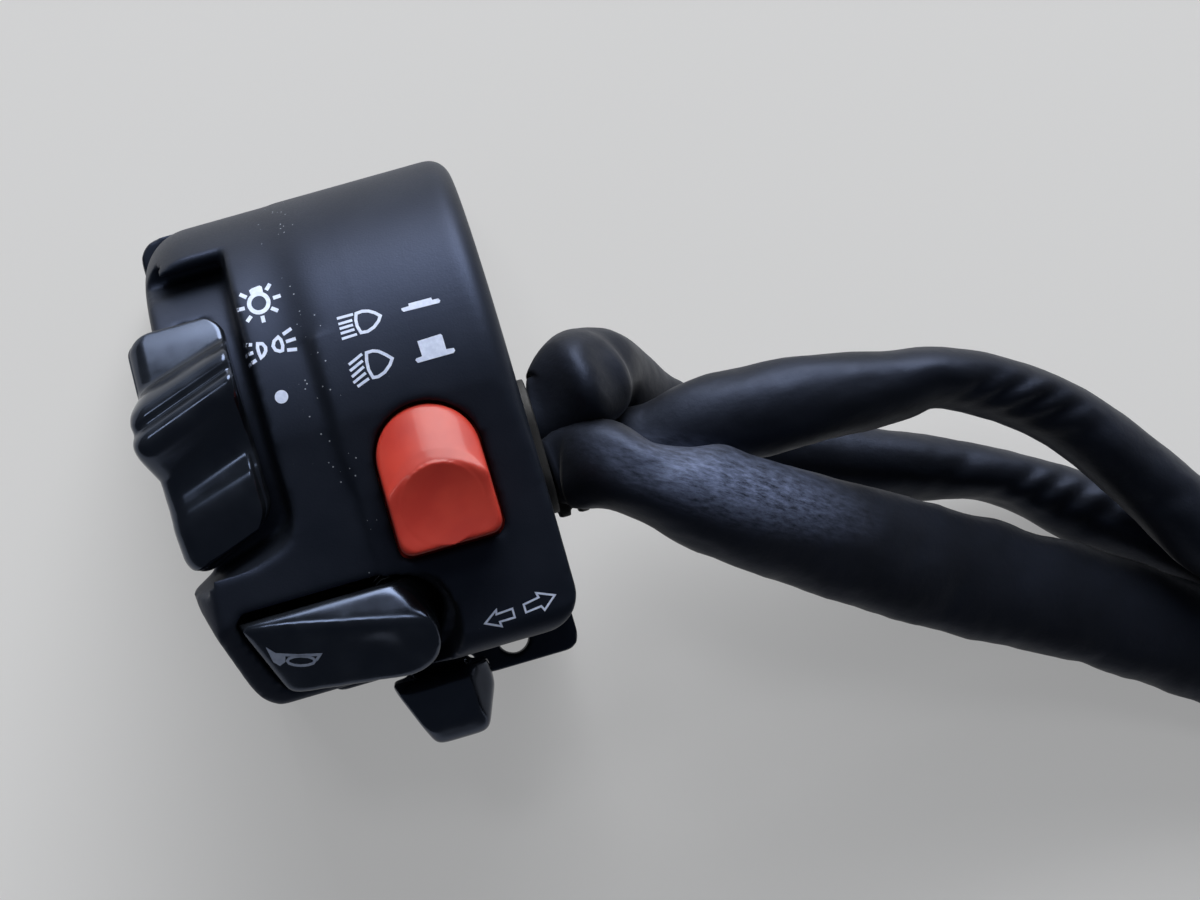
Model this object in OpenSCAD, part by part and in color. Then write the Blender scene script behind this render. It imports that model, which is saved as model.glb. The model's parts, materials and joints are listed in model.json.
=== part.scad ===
// Left-hand handlebar switch cluster of a motorbike: a two-part moulded casing clamped round the bar,
// a sliding light switch, a push-push dip button, a horn paddle and a turn-signal lever.
// Origin: centre of the handlebar bore. +X runs along the bar to the harness side, +Y is up when riding,
// +Z points out of the switch face to the rider. The part lies on the flat back of its front casing.

/* [Handlebar] */
// Diameter of the handlebar that the casing clamps
bar_d = 22.2; // [21.6:0.1:22.8]

/* [Casing] */
// Length of the casing along the handlebar
casing_len = 43.5; // [43:0.25:46]
// Radius of the switch face about the handlebar's axis
face_r = 32; // [31.5:0.25:33]
// Height of the raised zone that carries the dip button
step_h = 1.1; // [0.6:0.1:1.4]
// Where the raised zone starts, along the handlebar
step_x = -1.5; // [-3:0.25:-0.5]
// Distance from the handlebar's axis down to the lower edge of the face
lower_y = 33; // [32.5:0.25:34]
// Height of the lower edge of the face above the parting plane
toe_z = 29.8; // [29:0.1:30.6]
// Distance from the handlebar's axis back to the flat back
back_z = 16.5; // [16:0.25:18.5]
// Thickness of the moulded walls
wall = 2.4; // [2.1:0.1:2.6]
// Rounding of the casing's end edges
edge_r = 3; // [2:0.25:3.5]
// Rounding of the face's edge at the grip end
left_r = 7; // [5:0.5:8]
// How far the lip under the slider stands out at the grip end
lip_out = 3.5; // [2.8:0.1:3.8]
// Rounding of the front casing's back edges
back_r = 10; // [7:0.5:11]
// Radius of the eye in the front casing's ear
eye_r = 2.2; // [1.8:0.1:2.5]

/* [Clamp screws] */
// Thread diameter of the two clamp screws
clamp_d = 5; // [4:0.5:5]
// Head diameter of the clamp screws
clamp_head_d = 8.6; // [8:0.2:9]
// Distance of the clamp screws above and below the handlebar's axis
clamp_y = 22; // [21:0.25:23]

/* [Light slider] */
// Travel of the slider about the handlebar's axis, in degrees
light_travel = 22; // [18:1:22]
// Thickness of the slider's plate
light_t = 3.2; // [2.6:0.1:3.4]
// Height of the thumb ridge above the plate
ridge_h = 5; // [3:0.25:6]
// Depth of the slider's recess in the face
recess_depth = 4.4; // [4:0.1:4.8]
// Slant of the ridge and of the slider's lower edge, in degrees
light_slant = 18; // [10:1:22]

/* [Dip button] */
// Width of the red button
dip_w = 13.3; // [12:0.1:14]
// Height of the red button, from its round top to its flat bottom
dip_h = 18.2; // [16.5:0.1:18.6]
// How far the button's crest stands out of the face
dip_crest = 5.6; // [4:0.2:7]
// Travel of the push-push button
dip_travel = 3.4; // [2.5:0.1:3.6]

/* [Horn paddle] */
// Length of the paddle
horn_len = 24.6; // [23:0.1:25]
// Height of the paddle along its sloping face
horn_h = 12.2; // [11.6:0.1:12.6]
// How far the paddle's right end stands out
horn_high = 6; // [5:0.1:6.5]
// Slope of the paddle's face, in degrees
horn_tilt = 35; // [33:0.5:36]
// Press of the paddle, in degrees
horn_press = 5.5; // [4:0.25:6]

/* [Turn lever] */
// Swing of the turn lever to each side, in degrees
turn_swing = 11; // [8:0.5:12]
// Length of the knob below the casing
knob_len = 9.4; // [8:0.2:10]
// Width of the knob where it leaves the casing
knob_w = 13.4; // [12:0.2:14]
// Thickness of the lever's arm
arm_t = 4; // [3.4:0.1:4.2]

/* [Harness] */
// Outer diameter of the soft sleeves
sleeve_d = 12.2; // [11:0.2:12.4]
// Outer diameter of a sleeve where the grommet grips it
root_d = 8.2; // [7.8:0.1:8.4]
// Size of the square grommet
grommet_w = 18; // [17.6:0.1:18.4]

/* [Hidden] */
$fn = 64;
far = 80;
gap = 0.35;
pin_clear = 0.08;

// Casing values
bar_r = bar_d / 2;
half = casing_len / 2;
recess_x = 11.05 - half;
dip_x = half - 13.35;
horn_x = 1.05 + horn_len / 2 - half;
turn_x = half - 19.75;
lower_draft = 1.6;
toe_r = 3.5;
low_corner_r = 5;
plate_gap = 1.6;
plate_t = 1.2;
plate_z = bar_r + plate_gap;
plate_top = plate_z + plate_t;
face_z = face_r + step_h;
ramp = 2.6;
lip_y = -15.4;
lip_z = 8;
saddle_t = 3.4;
ear_x = [half - 14.75, half - 0.25];
ear_z = [-6, -2];
eye_pos = [half - 8.95, lower_y - lower_draft + 0.3 + eye_r];
ear_rim = 1.6;
flange_x = 8.95 - half;
flange_y = -lower_y - 1.4;
collar_h = 0.9;
collar_w = 3;

// Clamp and module screws
boss_r = clamp_d / 2 + 2;
clamp_top = [half - 15.75, clamp_y];
clamp_low = [half - 5.75, -clamp_y - 2.5];
head_h = 3.2;
head_sink = 1;
clamp_reach = 10;
post_r = 2.6;
m3_r = 1.5;
m3_head_r = 2.7;
m3_head_h = 1.3;
m3_reach = 6;
posts = [[half - 5.55, 3.6], [recess_x + 5.7, 4], [dip_x, 7.4 - lower_y]];

// Light slider values, in degrees about the bar from the face's middle, and radii from its axis
floor_r = face_r - recess_depth;
light_in = floor_r + 0.4;
light_out = light_in + light_t;
light_low = -26;
light_high = 38;
light_x = [-half - 3.7, recess_x - 1.6];
recess_low = -32;
recess_high = 55.5;
pocket_r = light_in + 2.3;
pocket_floor = floor_r - 0.15;
ridge_angle = 13;
ridge_x = recess_x - 9.7;
ridge_len = 14.6;
ridge_w = 10.2;
ridge_top = 2.3;
saddle_r = 4;
saddle_depth = 1.4;
saddle_off = 7.2;
saddle_drop = 0.83;
light_corner_r = 4.5;
light_top_r = 3.5;
ridge_round = 1.5;
carrier_out = floor_r - wall - 0.6;
carrier_in = carrier_out - 4.3;
stem_angles = [8, 17];
stem_x = [recess_x - 7.5, recess_x - 3.9];
ball_r = 1.2;
light_ball_angle = 28;
light_ball_x = recess_x - 5.7;
light_base_out = carrier_in - 0.6;
light_base_t = 4;
carrier_x = [stem_x[0] - 0.6, stem_x[1] + 2.2];

// Dip button values
dip_y = -0.5;
dip_mid_y = dip_y - dip_h / 2;
dip_round = dip_w / 2;
dip_corner = 1.6;
dip_lip = 0.9;
dip_slope = 38;
dip_back_r = 13;
dip_dish_r = 10.6;
dip_dish = 1.4;
dip_under = face_z - wall - 1.6;
dip_seat = dip_under - 2.2;
dip_body_top = dip_seat - dip_travel - 0.4;
plunger_r = 2;
plunger_low = plate_top + dip_travel + 0.6;
dip_pocket_r = 4.4;
dip_pocket_d = 2.4;

// Horn paddle values, in the frame of its sloping face
horn_pos = [horn_x, 5.5 - lower_y, 26.4];
horn_floor = -0.4;
horn_wall = 2.2;
horn_low = 0.6;
horn_rise = (horn_high - horn_low) / horn_len;
horn_draft = 0.56;
horn_up = 1.8;
horn_top = horn_h / 2 + horn_up;
horn_bevel = 3.2;
horn_dish = [4.3, 0.9];
horn_dish_r = 13.4;
horn_back = -4.4;
horn_pin_x = 4 - horn_len / 2;
horn_pin_z = -6.8;
horn_pin_r = 1.1;
horn_ear_r = 1.9;
horn_lug_w = 4.8;
horn_ear_t = 1.7;
horn_base_z = -10.6;
horn_shift = (2 - horn_pin_z) * sin(horn_press);
horn_spring_x = horn_len / 2 - 5.1;
horn_base_rim = 3.4;
horn_base_left = horn_x + horn_pin_x - horn_ear_r;
horn_base_right = horn_x + horn_spring_x + horn_base_rim;
horn_base_top = dip_mid_y - dip_h / 2 + 0.5;

// Outline of the module plate
plate_low = 5 - lower_y;
plate_left = horn_base_left + 1;
plate_right = half - wall - 1.95;
plate_r = 2.4;

// Turn lever values
turn_pos = [turn_x, 16 - lower_y];
arm_z = [5, 5 + arm_t];
arm_w = 8;
turn_pin_r = 1.5;
turn_hub_r = 4.4;
turn_base_z = arm_z[1] + 0.8;
knob_top = 17.7;
knob_z = [3.2, 15];
turn_ball_y = -8;

// Harness values
grommet_pos = [-9.7, 18.5];
grommet_r = 6;
grommet_out = 1.1;
tongue_out = 5.2;
tongue_w = 2.4;
tongue_z = [11.5, 18.4];
rib_out = 0.9;
sleeve_r = sleeve_d / 2;
root_r = root_d / 2;
exit_x = half + grommet_out;
floor_c = sleeve_r - back_z;
plug = [22, 13.6, 11];
front_route = [
    [exit_x, -13.6, 23.2], [exit_x + 2.5, -13.6, 23.2], [29, -15, 25], [33.4, -18.2, 26.4],
    [37.5, -20.3, 26.4], [42, -22.8, 25], [47, -26, 22.8], [52.5, -29.4, 19.5], [65, -37.2, 12.5],
    [78, -44.8, 6], [91, -52.3, 0.8], [104, -61, -4.2], [117, -71, -8.4], [130, -80.5, floor_c],
    [145, -87, floor_c], [162, -90, floor_c], [190, -90, floor_c], [220, -90, floor_c],
    [246, -90, floor_c]
];
upper_route = [
    [exit_x, -11.2, 13.4], [exit_x + 2.5, -11.2, 13.4], [30, -12.4, 13.3], [37, -13.6, 13.8],
    [45, -13, 15], [58, -13.5, 15], [70, -15, 12.6], [77, -15.6, 11], [86, -20, 8.5],
    [94.3, -26.6, 5.5], [102, -36.7, 3.6], [109, -47, 3], [117, -53.5, 3], [127, -57, 2.6],
    [139, -58.6, 0], [152, -60, -6.6], [166, -61, floor_c], [190, -61, floor_c], [220, -61, floor_c],
    [246, -61, floor_c]
];
rear_route = [
    [exit_x, -4.9, 21.9], [exit_x + 2.5, -4.9, 21.9], [29.6, -2.4, 20], [32.4, -2.2, 14.6],
    [34.8, -4, 8], [37.6, -8, 2.4], [41.6, -12, -0.6], [47.5, -15.6, -2.2], [54.5, -19, -3.6],
    [63, -22.8, -5.2], [75, -27.8, -7.6], [85, -32.6, -9.4], [95, -39, floor_c], [107, -47.2, floor_c],
    [119, -56.4, floor_c], [132, -65.6, floor_c], [148, -73, floor_c], [166, -75.5, floor_c],
    [190, -75.5, floor_c], [220, -75.5, floor_c], [246, -75.5, floor_c]
];

// Shared shapes

// Points along an arc
function arc(c, r, a0, a1, n) = [for (i = [0:n]) let (a = a0 + (a1 - a0) * i / n) c + r * [cos(a), sin(a)]];

function unit(v) = v / norm(v);

// Rectangle with round corners, between two opposite corners
module round_box(low, high, r) {
    translate([low[0] + r, low[1]]) square([high[0] - low[0] - 2 * r, high[1] - low[1]]);
    translate([low[0], low[1] + r]) square([high[0] - low[0], high[1] - low[1] - 2 * r]);
    for (x = [low[0] + r, high[0] - r], y = [low[1] + r, high[1] - r]) translate([x, y]) circle(r = r);
}

// A (Y, Z) outline drawn out along the bar
module along_x(x_from, x_to) {
    translate([x_from, 0, 0]) rotate([90, 0, 90]) linear_extrude(x_to - x_from) children();
}

// An (X, Z) outline drawn out along Y
module along_y(y_from, y_to) {
    translate([0, y_to, 0]) rotate([90, 0, 0]) linear_extrude(y_to - y_from) children();
}

// A (radius, X) outline turned about the bar, with angles from +Z towards +Y
module around_bar(a_from, a_to) {
    rotate([0, 90, 0]) rotate([0, 0, 180 - a_to]) rotate_extrude(angle = a_to - a_from) children();
}

// Frame on the face: X along the bar, Y up along the arc, Z outwards
module on_face(a, x, r) {
    rotate([-a, 0, 0]) translate([x, 0, r]) children();
}

// Frame of the horn paddle's sloping face
module on_horn() {
    translate(horn_pos) rotate([horn_tilt, 0, 0]) children();
}

// Tube through a list of points, with a radius at each of them
module tube(points, radii, sides) {
    last = len(points) - 1;
    heading = [for (i = [0:last]) unit(points[min(i + 1, last)] - points[max(i - 1, 0)])];
    side = [for (t = heading) unit(cross(t, [0.05, 0.1, 1]))];
    up = [for (i = [0:last]) cross(side[i], heading[i])];
    ring = [
        for (i = [0:last], k = [0:sides - 1])
            points[i] + radii[i] * (cos(360 * k / sides) * side[i] + sin(360 * k / sides) * up[i])
    ];
    walls = [
        for (i = [0:last - 1], k = [0:sides - 1])
            let (a = i * sides + k, b = i * sides + (k + 1) % sides)
            each [[a, b, a + sides], [b, b + sides, a + sides]]
    ];
    start = [[for (k = [0:sides - 1]) sides - 1 - k]];
    end = [[for (k = [0:sides - 1]) last * sides + k]];
    polyhedron(points = ring, faces = concat(walls, start, end), convexity = 6);
}

// Compression spring standing on Z
module coil_spring(r, wire, height, turns) {
    steps = turns * 10;
    rise = height - 2 * wire;
    route = [for (i = [0:steps]) [r * cos(i * 36), r * sin(i * 36), wire + rise * i / steps]];
    tube(route, [for (p = route) wire], 6);
}

// Screw with a round head below Z = 0 and its shaft upwards
module round_screw(r, shaft, head_r, head) {
    cylinder(r = r, h = shaft);
    translate([0, 0, -head]) cylinder(r = head_r, h = head);
}

// Casing shapes

// Sides of the rear casing below the round part of the face
module lower_profile(lift, inset) {
    polygon(concat(
        [[0, -far / 2], [0, face_r + lift - inset]],
        arc([toe_r - lower_y, toe_z - toe_r], toe_r - inset, 85, 180, 8),
        [[lower_draft - lower_y + inset, 0], [lower_draft - lower_y + inset, -far / 2]]
    ));
}

// Half section of the drum that rounds the face, with its end edges rounded
module drum_section() {
    translate([0, -half]) square([face_r - left_r, casing_len]);
    translate([0, left_r - half]) square([face_r, casing_len - left_r - edge_r]);
    square([face_r - edge_r, half]);
    translate([face_r - left_r, left_r - half]) circle(r = left_r);
    translate([face_r - edge_r, half - edge_r]) circle(r = edge_r);
}

// Outside of the rear casing: round about the bar above, flat and drafted below
module rear_outside(lift) {
    translate([0, 0, lift]) intersection() {
        around_bar(0, 360) drum_section();
        translate([-far, 0, -lift]) cube([2 * far, far, far]);
    }
    intersection() {
        along_x(-half, half) lower_profile(lift, 0);
        along_y(-far, 0) round_box([-half, -far], [half, face_r + lift], edge_r);
        along_y(-far, 0) round_box([-half, -far], [far, face_r + lift], left_r);
        linear_extrude(far) round_box([-half, -lower_y], [half, far], low_corner_r);
    }
}

// Lip that stands out at the grip end, under the slider
module grip_lip() {
    intersection() {
        translate([0, 0, lip_z]) linear_extrude(far) polygon([
            [left_r - half, lip_y + 6], [-half - lip_out, lip_y], [0.3 - half - lip_out, lip_y - 2.4],
            [-half, 4 - lower_y], [left_r - half, 4 - lower_y]
        ]);
        along_x(-far, 0) lower_profile(0, 0);
        along_y(-far, 0) round_box([-half - lip_out, -far], [far, face_r], left_r);
    }
}

module rear_block() {
    rear_outside(0);
    grip_lip();
    intersection() {
        rear_outside(step_h);
        around_bar(0, 360) polygon([
            [0, step_x - ramp], [face_r - step_h, step_x - ramp], [face_z, step_x], [far, step_x],
            [far, far], [0, far]
        ]);
    }
}

// Hollow of the rear casing, short of the slider's recess and of the horn's sloping wall
module rear_hollow() {
    difference() {
        union() {
            intersection() {
                along_x(wall - half, half - wall) circle(r = face_r - wall);
                translate([-far, 0, -1]) cube([2 * far, far, far]);
            }
            intersection() {
                along_x(wall - half, half - wall) lower_profile(0, wall);
                translate([-far, -far, -1]) cube([2 * far, far, far]);
            }
        }
        around_bar(recess_low - 2, recess_high + light_travel) polygon([
            [floor_r - wall, -far], [floor_r - wall, recess_x + wall], [far, recess_x + wall], [far, -far]
        ]);
        around_bar(recess_high + light_travel - 3, 150) polygon([
            [floor_r - wall - 0.5, -far], [floor_r - wall - 0.5, 1 + wall - half],
            [face_r, left_r + 1 - half], [far, left_r + 1 - half], [far, -far]
        ]);
        on_horn() translate([-far, -far, horn_floor - horn_wall])
            cube([far + horn_len / 2 + 2 + horn_wall, far + horn_top + 1 + horn_wall, far]);
    }
}

// Round lower right corner of the slider and of its recess
module light_corner(r) {
    t = r * tan((90 - light_slant) / 2);
    difference() {
        polygon([
            [-t, -1], [-t, 0], [t * sin(light_slant), t * cos(light_slant)],
            [t * sin(light_slant) + 3, t * cos(light_slant)], [3, -1]
        ]);
        translate([-t, r]) circle(r = r);
    }
}

// Recess of the light slider, with its slanted lower edge, the pocket above it and the stem's slot
module light_recess() {
    difference() {
        around_bar(recess_low, recess_high) polygon([
            [floor_r, -far], [floor_r, recess_x], [face_r + 2, recess_x + 1], [face_r + 2, -far]
        ]);
        on_face(light_low + 3.5, recess_x, floor_r - 2) rotate([0, 0, light_slant]) {
            translate([-far / 2, -far, 0]) cube([far, far, 20]);
            translate([0.5, 0, 0]) linear_extrude(20) light_corner(light_corner_r);
        }
    }
    around_bar(recess_high - 1, light_high + light_travel + 3) polygon([
        [pocket_floor, -far], [pocket_floor, recess_x - 0.1], [pocket_r, recess_x - 0.1], [pocket_r, -far]
    ]);
    around_bar(stem_angles[0] - 2, stem_angles[1] + light_travel + 2) polygon([
        [floor_r - wall - 1, stem_x[0] - gap], [floor_r - wall - 1, stem_x[1] + gap],
        [floor_r + 1, stem_x[1] + gap], [floor_r + 1, stem_x[0] - gap]
    ]);
}

// Outline of the horn paddle in the plane of its face: slanted at the left, round at the right
module horn_outline(grow) {
    r = horn_h / 2 + grow;
    left = -horn_len / 2 - grow;
    right = horn_len / 2 - horn_h / 2;
    translate([0, horn_up]) polygon(concat(
        [[left, horn_h / 2 - 1], [left + 1, r]],
        arc([right, 0], r, 90, -90, 24),
        [[left + 4.4, -r], [left + 3.4, -r + 0.6]]
    ));
}

module dip_outline(grow) {
    r = dip_round + grow;
    low = dip_y - dip_h - grow;
    translate([dip_x, 0]) {
        translate([0, dip_y - dip_round]) circle(r = r);
        round_box([-r, low], [r, dip_y - dip_round], dip_corner);
        translate([-r, dip_y - dip_round - dip_corner]) square([2 * r, dip_corner]);
    }
}

module turn_slot() {
    reach = lower_y + turn_pos[1];
    w = arm_w / 2 + reach * sin(turn_swing) + 2 * gap;
    translate([turn_pos[0] - w, -lower_y - 1, arm_z[0] - gap]) cube([2 * w, wall + 3, arm_t + 2 * gap]);
}

module grommet_outline(grow) {
    w = grommet_w / 2 + grow;
    translate(grommet_pos) round_box([-w, -w], [w, w], grommet_r + grow);
}

// Outline of the front casing in the (Y, Z) plane
module front_profile() {
    intersection() {
        round_box([lower_draft - lower_y, -back_z], [face_r, far], back_r);
        translate([-far, -far]) square([2 * far, far]);
    }
}

module ear() {
    bottom = -eye_pos[1] - eye_r - ear_rim;
    translate([0, 0, ear_z[0]]) linear_extrude(ear_z[1] - ear_z[0])
    {
        round_box([ear_x[0], bottom], [ear_x[1], wall - lower_y], 2);
        round_box([flange_x, flange_y], [ear_x[0] + 4, wall - lower_y], 1.5);
    }
}

// Casing

module rear_casing() color("#1d2027") difference() {
    union() {
        difference() {
            rear_block();
            rear_hollow();
        }
        intersection() {
            rear_block();
            union() {
                translate([clamp_top[0], clamp_top[1], 0]) cylinder(r = boss_r, h = far);
                translate([clamp_low[0], clamp_low[1], 0]) cylinder(r = boss_r, h = plate_z);
                translate([clamp_low[0], -lower_y, 0])
                    cube([half - clamp_low[0], lower_y + clamp_low[1], plate_z]);
                for (p = posts) translate([p[0], p[1], plate_top]) cylinder(r = post_r, h = far);
            }
        }
    }
    rotate([0, 90, 0]) cylinder(r = bar_r, h = 2 * far, center = true);
    light_recess();
    linear_extrude(far) dip_outline(gap);
    translate([0, 0, dip_under - 3]) linear_extrude(wall + 1) dip_outline(dip_lip + gap);
    on_horn() {
        translate([0, 0, horn_floor]) linear_extrude(far) {
            horn_outline(1.4);
            translate([-far, -far]) square([far - horn_len / 4, far + horn_top + 0.6]);
            translate([horn_len / 2 - horn_h / 2 + 0.8, horn_up]) circle(r = horn_h / 2 + 1.8);
            translate([-horn_len / 2, -far]) square([horn_len - horn_h / 2, far]);
        }
        translate([0, 0, horn_floor - horn_wall - 3]) linear_extrude(horn_wall + 4) {
            horn_outline(gap);
            translate([horn_shift, 0]) horn_outline(gap);
        }
    }
    turn_slot();
    along_x(half - wall - 1, far) grommet_outline(0);
    translate([clamp_top[0], clamp_top[1], -1]) cylinder(r = clamp_d / 2, h = clamp_reach + 2);
    translate([clamp_low[0], clamp_low[1], -1]) cylinder(r = clamp_d / 2, h = clamp_reach + 2);
    for (p = posts) translate([p[0], p[1], plate_top - 1]) cylinder(r = m3_r, h = m3_reach + 1);
}

module front_casing() color("#17191e") difference() {
    union() {
        difference() {
            intersection() {
                along_x(-half, half) front_profile();
                along_y(-far, far) round_box([-half, -back_z], [half, far], edge_r);
                translate([0, 0, -far]) linear_extrude(far)
                    round_box([-half, lower_draft - lower_y], [half, face_r], edge_r);
            }
            for (side = [-1, 1]) intersection() {
                translate([wall - half, side > 0 ? bar_r + saddle_t : -far, wall - back_z])
                    cube([casing_len - 2 * wall, far - bar_r - saddle_t, far]);
                along_x(-half, half) round_box(
                    [lower_draft - lower_y + wall, wall - back_z], [face_r - wall, far], back_r - wall
                );
            }
        }
        translate([clamp_top[0], clamp_top[1], -back_z + wall / 2])
            cylinder(r = boss_r + 1, h = back_z - wall / 2);
        translate([clamp_low[0], clamp_low[1], -back_z + wall]) cylinder(r = boss_r + 1, h = back_z - wall);
        ear();
        intersection() {
            translate([half - 1, 0, 0]) rotate([0, 90, 0])
                cylinder(r = bar_r + 1.2 + collar_w, h = 1 + collar_h);
            translate([0, -far, -far]) cube([far, 2 * far, far]);
        }
    }
    rotate([0, 90, 0]) cylinder(r = bar_r, h = 2 * far, center = true);
    translate([half, 0, 0]) rotate([0, 90, 0]) cylinder(r = bar_r + 1.2, h = far);
    translate([eye_pos[0], -eye_pos[1], -far]) cylinder(r = eye_r, h = far + 1);
    for (p = [clamp_top, clamp_low]) translate([p[0], p[1], -back_z - 1]) {
        cylinder(r = clamp_d / 2 + 0.2, h = far);
        cylinder(r = clamp_head_d / 2 + gap, h = head_h + head_sink + 1);
    }
}

// Pan-head screws that draw the two halves together
module clamp_screws() color("silver") for (p = [clamp_top, clamp_low])
    translate([p[0], p[1], head_h + head_sink - back_z]) difference() {
        round_screw(clamp_d / 2, back_z - head_h - head_sink + clamp_reach, clamp_head_d / 2, head_h);
        for (a = [0, 90]) rotate([0, 0, a]) translate([-2.4, -0.5, -head_h - 1]) cube([4.8, 1, 2.6]);
    }

// Stamped plate that carries the switch modules, screwed to three posts behind the face
module module_plate() color("lightsteelblue") translate([0, 0, plate_z]) difference() {
    linear_extrude(plate_t) {
        round_box([recess_x + wall + 0.1, plate_low], [plate_right, posts[1][1] + 3], plate_r);
        round_box([plate_left, plate_low], [turn_x, horn_base_top + 4.6], plate_r);
    }
    for (p = posts) translate([p[0], p[1], -1]) cylinder(r = m3_r + 0.2, h = plate_t + 2);
    translate([turn_pos[0], turn_pos[1], -1]) cylinder(r = turn_pin_r, h = plate_t + 2);
}

module module_screws() color("gold") for (p = posts) translate([p[0], p[1], plate_z]) difference() {
    round_screw(m3_r, plate_t + m3_reach - 0.5, m3_head_r, m3_head_h);
    translate([-m3_head_r - 1, -0.4, -m3_head_h - 1]) cube([2 * m3_head_r + 2, 0.8, 1.7]);
}

// Light switch

// Cross-section of the thumb ridge, with two fine grooves along its crest
module ridge_section() {
    top = light_t + ridge_h;
    difference() {
        polygon(concat(
            [[-ridge_w / 2, 0]],
            arc([-ridge_top, top - ridge_round], ridge_round, 165, 90, 6),
            arc([ridge_top, top - ridge_round], ridge_round, 90, 15, 6),
            [[ridge_w / 2, 0]]
        ));
        for (x = [-0.2, 1.6]) translate([x, top]) circle(r = 0.4, $fn = 16);
    }
}

module light_slider() color("#0d0e11") difference() {
    union() {
        difference() {
            around_bar(light_low - 6, light_high) polygon(concat(
                [[light_in, light_x[1]], [light_out - 0.8, light_x[1]]],
                arc([light_out - 0.8, light_x[1] - 0.8], 0.8, 90, 0, 5),
                arc([light_out - 5, light_x[0] + 5], 5, 0, -62, 8),
                [[light_in - 3, light_x[0]], [light_in - 3, -half - gap], [light_in, -half - gap]]
            ));
            on_face(light_low + 5.5, recess_x, floor_r - 6) rotate([0, 0, light_slant]) {
                translate([-far / 2, -far, 0]) cube([far, far, 20]);
                translate([(light_x[1] - recess_x) / cos(light_slant), 0, 0]) linear_extrude(20)
                    light_corner(light_corner_r);
            }
            on_face(light_high, light_x[1], light_in - 4) linear_extrude(20) difference() {
                translate([-light_top_r, -light_top_r]) square(light_top_r + 1);
                translate([-light_top_r, -light_top_r]) circle(r = light_top_r);
            }
            around_bar(ridge_angle + 12, light_high + 1) polygon([
                [pocket_r - 0.4, -far], [pocket_r - 0.4, far], [far, far], [far, -far]
            ]);
        }
        intersection() {
            on_face(ridge_angle, ridge_x, light_in + 0.2) rotate([0, 0, light_slant]) rotate([90, 0, 90])
                translate([0, 0, -ridge_len / 2]) linear_extrude(ridge_len) ridge_section();
            around_bar(0, 360) polygon([[light_in, -far], [light_in, far], [far, far], [far, -far]]);
        }
    }
    on_face(ridge_angle, ridge_x, light_out + saddle_r - saddle_depth - saddle_drop)
        rotate([0, 0, light_slant]) translate([0, -saddle_off, 0]) rotate([0, 90, 0])
            cylinder(r = saddle_r, h = far, center = true);
}

// Carrier behind the recess, joined to the slider by its stem
module light_carrier() color("ivory") difference() {
    union() {
        around_bar(stem_angles[0] - 4, stem_angles[1] + 17)
            translate([carrier_in, carrier_x[0]])
                square([carrier_out - carrier_in, carrier_x[1] - carrier_x[0]]);
        around_bar(stem_angles[0], stem_angles[1])
            translate([carrier_out - 1, stem_x[0]])
                square([light_in - carrier_out + 1, stem_x[1] - stem_x[0]]);
    }
    on_face(light_ball_angle, light_ball_x, carrier_in - 1) cylinder(r = ball_r + 0.1, h = 4.4);
}

module light_contact() color("orange") around_bar(stem_angles[0] - 2, stem_angles[1])
    translate([carrier_in - 0.3, carrier_x[0] + 0.4]) square([0.3, carrier_x[1] - carrier_x[0] - 0.8]);

module light_base() color("sienna") difference() {
    around_bar(-2, 58) translate([light_base_out - light_base_t, wall - half])
        square([light_base_t, recess_x - 0.7 - wall + half]);
    around_bar(light_ball_angle - 6, light_ball_angle + light_travel + 6)
        translate([light_base_out - 1.2, light_ball_x - ball_r - gap]) square([2, 2 * ball_r + 2 * gap]);
}

module light_detent_ball() color("silver") on_face(light_ball_angle, light_ball_x, carrier_in - 0.2)
    sphere(r = ball_r);

module light_detent_spring() color("gray")
    on_face(light_ball_angle, light_ball_x, carrier_in + ball_r - 0.2)
    coil_spring(0.8, 0.2, 2.4, 4);

// Dip switch

// Red button: a round-backed slope out of the face, an arched crest and a dished lower half
module dip_button() color("#c9362b") {
    top = face_z + dip_crest;
    difference() {
        intersection() {
            translate([0, 0, dip_seat]) linear_extrude(top - dip_seat) dip_outline(0);
            translate([dip_x, dip_y + 0.4, face_z - 0.8]) rotate([90 - dip_slope, 0, 0])
                translate([0, -dip_back_r, 0]) cylinder(r = dip_back_r, h = far, center = true);
        }
        translate([dip_x, dip_y - 0.7 * dip_h, top + dip_dish_r - dip_dish]) sphere(r = dip_dish_r);
    }
    translate([0, 0, dip_seat]) linear_extrude(dip_under - dip_seat) dip_outline(dip_lip);
}

module dip_plunger() color("white")
    translate([dip_x, dip_mid_y, plunger_low]) cylinder(r = plunger_r, h = dip_seat - plunger_low);

module dip_switch_body() color("seagreen") difference() {
    translate([dip_x, dip_mid_y, plate_top]) linear_extrude(dip_body_top - plate_top)
        round_box([-dip_w / 2 + 0.8, -dip_h / 2 + 1.2], [dip_w / 2 - 0.8, dip_h / 2 - 1.2], 1.5);
    translate([dip_x, dip_mid_y, plate_top - 1]) cylinder(r = plunger_r + gap, h = far);
    translate([dip_x, dip_mid_y, dip_body_top - dip_pocket_d]) cylinder(r = dip_pocket_r, h = far);
}

module dip_spring() color("gray") translate([dip_x, dip_mid_y, dip_body_top - dip_pocket_d])
    coil_spring(3.2, 0.35, dip_seat - dip_body_top + dip_pocket_d, 5);

// Horn

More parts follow.
